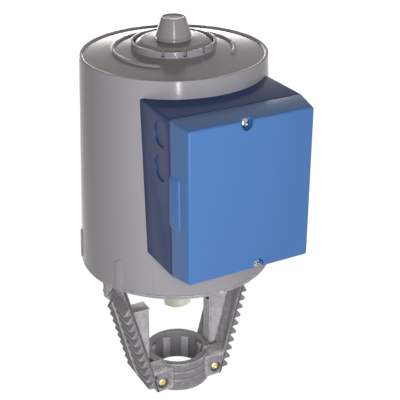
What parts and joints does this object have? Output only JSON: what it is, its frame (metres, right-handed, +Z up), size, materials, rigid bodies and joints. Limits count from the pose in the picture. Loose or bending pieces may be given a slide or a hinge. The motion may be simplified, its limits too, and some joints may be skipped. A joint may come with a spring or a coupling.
{
  "type": "motorized valve actuator",
  "caption": "Electrohydraulic spring-return valve actuator: grey hood, blue terminal box, finned yoke with a neck clamp, and a stem coupling that strokes down.",
  "frame": {"origin": "on the stem's axis at the bottom face of the neck ring, where the valve's neck enters", "axes": "+Z up along the stem's axis, away from the valve; the terminal box faces -Y; the yoke's legs stand at +X and -X"},
  "size_m": [0.1722, 0.2156, 0.3558],
  "materials": {
    "hood_grey": "glossy moulded plastic",
    "knob_grey": "satin",
    "cast_grey": "satin paint on die casting",
    "cover_blue": "fine texture",
    "base_navy": "fine texture",
    "black_plastic": "matt",
    "pointer_red": "satin",
    "black_rubber": "matt",
    "board_green": "solder mask",
    "machined_steel": "machined",
    "spring_steel": "oiled",
    "aluminium": "machined",
    "brass": "turned",
    "yellow_zinc": "yellow zinc plating",
    "bright_zinc": "bright zinc plating",
    "pale_zinc": "pale zinc plating"
  },
  "bodies": {
    "housing": {"hood": "hood_grey", "base_plate": "cast_grey", "hood_seal": "black_rubber", "yoke": "cast_grey", "yoke_screw_right_front": "yellow_zinc", "yoke_screw_left_rear": "yellow_zinc", "yoke_screw_right_rear": "yellow_zinc", "yoke_screw_left_front": "yellow_zinc", "scale_plate": "black_plastic", "stem_bush": "brass", "stem_wiper": "black_rubber", "tie_rod_1": "machined_steel", "tie_rod_2": "machined_steel", "tie_rod_3": "machined_steel", "pump_block": "aluminium", "piston_rod": "machined_steel", "piston": "aluminium", "piston_seal": "black_rubber", "piston_nut": "machined_steel", "pump_motor": "aluminium", "solenoid_coil": "black_plastic", "spindle_bush": "brass", "thrust_washer": "machined_steel", "terminal_box_base": "base_navy", "box_screw_lower": "bright_zinc", "box_screw_upper": "bright_zinc", "cable_grommet": "black_rubber", "cover_gasket": "black_rubber", "terminal_box_cover": "cover_blue", "cover_screw_top": "bright_zinc", "cover_screw_bottom": "bright_zinc", "terminal_block": "black_plastic", "circuit_board": "board_green", "control_relay": "black_plastic", "earth_screw": "brass", "return_spring": "spring_steel"},
    "stroke_assembly": {"pressure_cylinder": "machined_steel", "cylinder_gland": "brass", "push_nut": "machined_steel", "stem": "machined_steel", "coupling_nut": "pale_zinc", "lock_nut": "pale_zinc", "travel_pointer": "pointer_red"},
    "adjuster": {"adjuster_knob": "knob_grey", "adjuster_cap": "knob_grey", "adjuster_spindle": "machined_steel"},
    "neck_clamp": {"clamp_bracket": "cast_grey", "clamp_screw_left": "yellow_zinc", "clamp_screw_right": "yellow_zinc"},
    "rotor": {"pump_rotor": "machined_steel"},
    "plunger": {"valve_plunger": "machined_steel"}
  },
  "joints": [
    {"name": "stroke", "type": "slide", "parent": "housing", "child": "stroke_assembly", "axis": [0, 0, -1], "range_m": [0, 0.02], "stiffness_N_per_m": 4000, "springref_m": -0.02, "deforming": ["return_spring"]},
    {"name": "adjuster_turn", "type": "hinge", "parent": "housing", "child": "adjuster", "pos_m": [0, 0, 0.33], "axis": [0, 0, 1], "range_deg": [0, 1440]},
    {"name": "clamp_slide", "type": "slide", "parent": "housing", "child": "neck_clamp", "axis": [0, -1, 0], "range_m": [0, 0.006]},
    {"name": "rotor_spin", "type": "hinge", "parent": "housing", "child": "rotor", "pos_m": [-0.05023, 0.029, 0.237], "axis": [0, 0, 1], "continuous": true},
    {"name": "plunger_slide", "type": "slide", "parent": "housing", "child": "plunger", "axis": [0, 0, 1], "range_m": [0, 0.0027], "stiffness_N_per_m": 200, "springref_m": -0.004}
  ],
  "couplings": [
    {"joint": "adjuster_turn", "follows": "stroke", "rad_per_m": 1256}
  ]
}
